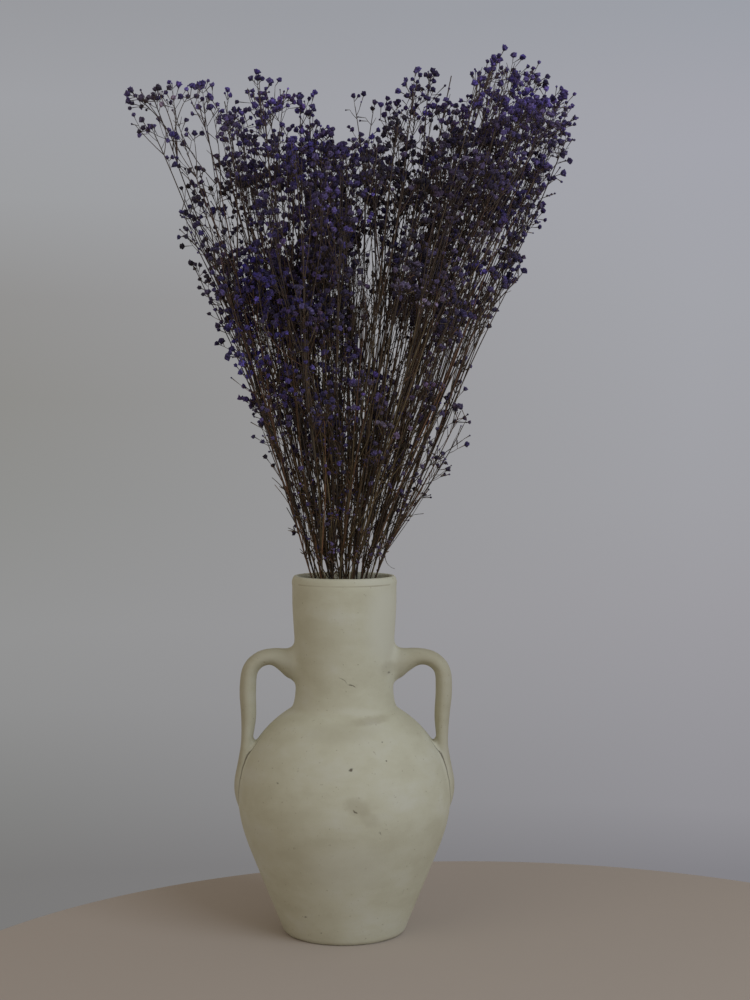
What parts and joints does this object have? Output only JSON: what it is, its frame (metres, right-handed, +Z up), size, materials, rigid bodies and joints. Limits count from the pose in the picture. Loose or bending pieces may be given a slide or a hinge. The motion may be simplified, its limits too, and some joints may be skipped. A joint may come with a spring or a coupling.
{
  "type": "preserved gypsophila in vase",
  "caption": "Two-handled earthenware vase holding a fan-shaped bunch of preserved, dyed gypsophila stems that stand loose on its floor.",
  "frame": {"origin": "centre of the vase's foot, on the surface it stands on", "axes": "+Z up, the handles lie along X, and the taller lobe of the crown is on +X"},
  "size_m": [0.3758, 0.2083, 0.7372],
  "materials": {
    "bisque_ware": "matte unglazed cream clay slip",
    "dyed_gypsophila": "dry, matte, dyed violet",
    "dried_stem": "dry, fibrous, olive brown"
  },
  "bodies": {
    "root": {"vase": "bisque_ware", "gypsophila_stem_01": "dyed_gypsophila", "gypsophila_stem_02": "dyed_gypsophila", "gypsophila_stem_03": "dyed_gypsophila", "gypsophila_stem_04": "dyed_gypsophila", "gypsophila_stem_05": "dyed_gypsophila", "gypsophila_stem_06": "dyed_gypsophila", "gypsophila_stem_07": "dyed_gypsophila", "gypsophila_stem_08": "dyed_gypsophila", "gypsophila_stem_09": "dyed_gypsophila", "gypsophila_stem_10": "dyed_gypsophila", "gypsophila_stem_11": "dyed_gypsophila", "gypsophila_stem_12": "dyed_gypsophila", "gypsophila_stem_13": "dyed_gypsophila", "gypsophila_stem_14": "dyed_gypsophila", "gypsophila_stem_15": "dyed_gypsophila", "gypsophila_stem_16": "dyed_gypsophila", "gypsophila_stem_17": "dyed_gypsophila", "gypsophila_stem_18": "dyed_gypsophila", "gypsophila_stem_19": "dyed_gypsophila", "gypsophila_stem_20": "dyed_gypsophila", "gypsophila_stem_21": "dyed_gypsophila", "gypsophila_stem_22": "dyed_gypsophila", "gypsophila_stem_23": "dyed_gypsophila", "gypsophila_stem_24": "dyed_gypsophila", "gypsophila_stem_25": "dyed_gypsophila", "gypsophila_stem_26": "dyed_gypsophila", "gypsophila_stem_27": "dyed_gypsophila", "gypsophila_stem_28": "dyed_gypsophila", "gypsophila_stem_29": "dyed_gypsophila", "gypsophila_stem_30": "dyed_gypsophila", "gypsophila_stem_31": "dyed_gypsophila", "gypsophila_stem_32": "dyed_gypsophila", "gypsophila_stem_33": "dyed_gypsophila", "gypsophila_stem_34": "dyed_gypsophila", "gypsophila_stem_35": "dyed_gypsophila", "gypsophila_stem_36": "dyed_gypsophila"}
  },
  "joints": []
}
